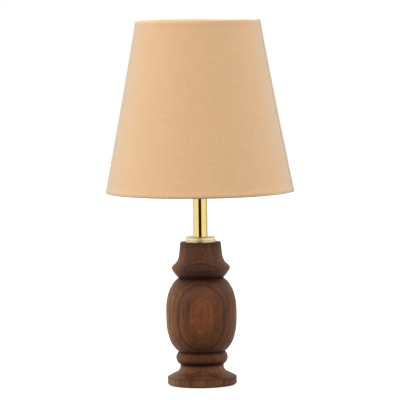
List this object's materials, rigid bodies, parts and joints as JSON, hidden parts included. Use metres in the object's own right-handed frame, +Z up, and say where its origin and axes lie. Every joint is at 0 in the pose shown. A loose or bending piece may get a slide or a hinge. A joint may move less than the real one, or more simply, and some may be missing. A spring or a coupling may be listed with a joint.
{
  "type": "table lamp",
  "caption": "Table lamp: a turned urn-shaped wooden base, a brass neck tube with a switched lampholder, and a tapered fabric shade round a screw-in bulb.",
  "frame": {"origin": "on the lamp's turning axis, at the plane of the table under the felt", "axes": "+Z up along the turning axis, -Y towards the front seen in the picture, +Y out of the cord's way in at the back, +X to the viewer's right"},
  "size_m": [0.202, 0.202, 0.3895],
  "materials": {
    "felt": "dense felt",
    "walnut": "oiled and waxed, flat-sawn grain",
    "black_plastic": "satin",
    "zinc_steel": "zinc plated",
    "pale_brass": "polished, pale",
    "polished_brass": "polished and lacquered",
    "holder_plastic": "moulded, off-white",
    "insert_ceramic": "moulded heat-proof plastic",
    "contact_brass": "bare stamped brass",
    "white_enamel": "white enamel",
    "liner_sheet": "translucent styrene sheet",
    "shade_cloth": "plain woven cotton, apricot beige",
    "bulb_glass": "pearl glass",
    "cap_metal": "bare rolled aluminium",
    "cap_glass": "black glass bead",
    "solder": "soldered tip",
    "stem_glass": "clear glass",
    "lead_wire": "bare wire",
    "tungsten": "coiled wire"
  },
  "bodies": {
    "base": {"felt_pad": "felt", "urn_body": "walnut", "cord_bushing": "black_plastic", "bottom_washer": "zinc_steel", "lock_washer": "zinc_steel", "bottom_nut": "zinc_steel", "threaded_rod": "zinc_steel", "check_ring": "pale_brass", "neck_tube": "polished_brass", "neck_cap": "polished_brass", "holder_cap": "holder_plastic", "holder_grub_screw": "zinc_steel", "holder_insert": "insert_ceramic", "terminal_screws": "contact_brass", "shell_contact": "contact_brass", "centre_contact": "contact_brass", "switch_blades": "contact_brass", "holder_skirt": "holder_plastic", "shade_ring_nut": "holder_plastic"},
    "switch": {"switch_bar": "insert_ceramic", "switch_bridge": "contact_brass", "switch_buttons": "holder_plastic"},
    "shade": {"fitter_ring": "white_enamel", "shade_arms": "white_enamel", "shade_base_wire": "white_enamel", "shade_top_wire": "white_enamel", "shade_liner": "liner_sheet", "shade_fabric": "shade_cloth"},
    "bulb_carriage": {"bulb_tip": "solder"},
    "bulb": {"bulb_glass": "bulb_glass", "bulb_cap": "cap_metal", "bulb_insulator": "cap_glass", "bulb_stem": "stem_glass", "bulb_leads": "lead_wire", "bulb_filament": "tungsten"}
  },
  "joints": [
    {"name": "shade_turn", "type": "hinge", "parent": "base", "child": "shade", "pos_m": [0, 0, 0.2528], "axis": [0, 0, 1], "continuous": true},
    {"name": "switch_push", "type": "slide", "parent": "base", "child": "switch", "axis": [1, 0, 0], "range_m": [0, 0.006]},
    {"name": "bulb_rise", "type": "slide", "parent": "base", "child": "bulb_carriage", "axis": [0, 0, 1], "range_m": [0, 0.01452]},
    {"name": "bulb_turn", "type": "hinge", "parent": "bulb_carriage", "child": "bulb", "pos_m": [0, 0, 0.2515], "axis": [0, 0, 1], "range_deg": [0, 1440]}
  ],
  "couplings": [
    {"joint": "bulb_rise", "follows": "bulb_turn", "m_per_rad": 0.00057757}
  ]
}
